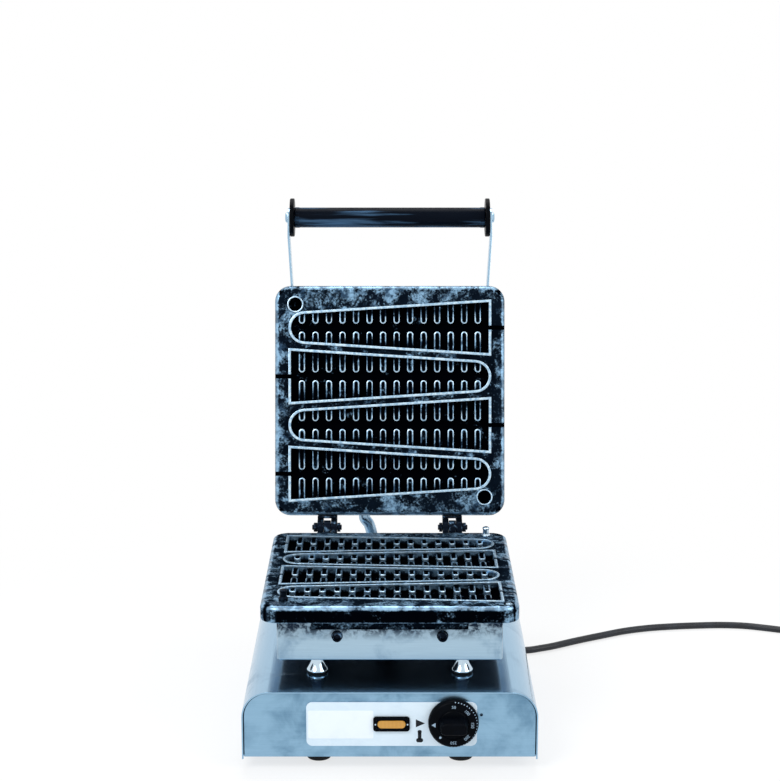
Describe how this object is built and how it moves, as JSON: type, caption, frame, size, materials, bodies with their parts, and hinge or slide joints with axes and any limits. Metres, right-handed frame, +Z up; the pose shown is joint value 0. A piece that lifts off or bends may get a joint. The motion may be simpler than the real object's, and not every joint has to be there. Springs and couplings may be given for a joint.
{
  "type": "waffle on a stick maker",
  "caption": "Countertop iron that bakes tapered waffles on sticks between two hinged cast plates, with a thermostat dial, lamp, tube handle and mains cord.",
  "frame": {"origin": "on the worktop under the middle of the machine's box with the lid open, cord left out", "axes": "+X to the right seen from the front, +Y towards the hinge, +Z up"},
  "size_m": [0.783, 0.4628, 0.5318],
  "materials": {
    "stainless": "polished sheet",
    "polished_chrome": "mirror",
    "cast_iron": "dark coating worn to bright metal on the raised edges",
    "dark_steel": "blackened",
    "heater_steel": "heat stained",
    "black_plastic": "satin",
    "black_rubber": "matt",
    "white_enamel": "satin print",
    "amber_lens": "clear amber",
    "grey_board": "fibrous board",
    "ceramic": "unglazed"
  },
  "bodies": {
    "base": {"base_cover": "stainless", "front_panel": "stainless", "rear_panel": "stainless", "bottom_plate": "stainless", "lower_tray": "stainless", "pin_rear_right": "stainless", "corner_plug": "stainless", "standoff_front_left": "polished_chrome", "standoff_front_right": "polished_chrome", "standoff_rear_left": "polished_chrome", "standoff_rear_right": "polished_chrome", "conduit": "polished_chrome", "conduit_gland_lower": "polished_chrome", "lower_plate": "cast_iron", "tray_screw_left": "dark_steel", "tray_screw_right": "dark_steel", "pin_front_left": "dark_steel", "lower_hinge_bracket_left": "dark_steel", "lower_hinge_bracket_right": "dark_steel", "hinge_bolt_left": "dark_steel", "hinge_bolt_right": "dark_steel", "hinge_nut_left": "dark_steel", "hinge_nut_right": "dark_steel", "lower_heater": "heater_steel", "thermostat_bulb": "heater_steel", "wiring_duct": "heater_steel", "lamp_bezel": "black_plastic", "foot_front_left": "black_rubber", "foot_front_right": "black_rubber", "foot_rear_left": "black_rubber", "foot_rear_right": "black_rubber", "standoff_pad_front_left": "black_rubber", "standoff_pad_front_right": "black_rubber", "standoff_pad_rear_left": "black_rubber", "standoff_pad_rear_right": "black_rubber", "cord_gland": "black_rubber", "cord_free": "black_rubber", "cord_coil": "black_rubber", "plug": "black_rubber", "control_plate": "white_enamel", "lamp_lens": "amber_lens", "lower_insulation": "grey_board", "thermostat_body": "ceramic", "terminal_block": "ceramic"},
    "knob": {"knob": "black_plastic", "thermostat_spindle": "heater_steel"},
    "lid": {"upper_plate": "cast_iron", "upper_cover": "stainless", "upper_heater": "heater_steel", "upper_insulation": "grey_board", "conduit_gland_upper": "polished_chrome", "handle_grip": "black_plastic", "upper_hinge_bracket_left": "dark_steel", "upper_hinge_bracket_right": "dark_steel", "handle_arm_left": "stainless", "handle_arm_right": "stainless", "handle_disc_left": "black_plastic", "handle_disc_right": "black_plastic", "handle_bolt_left": "stainless", "handle_bolt_right": "stainless"}
  },
  "joints": [
    {"name": "lid_hinge", "type": "hinge", "parent": "base", "child": "lid", "pos_m": [0, 0.09892, 0.1653], "axis": [1, 0, 0], "range_deg": [0, 102.35], "deforming": ["conduit"]},
    {"name": "knob_turn", "type": "hinge", "parent": "base", "child": "knob", "pos_m": [0.0643, -0.20938, 0.0521], "axis": [0, -1, 0], "range_deg": [0, 270]}
  ]
}
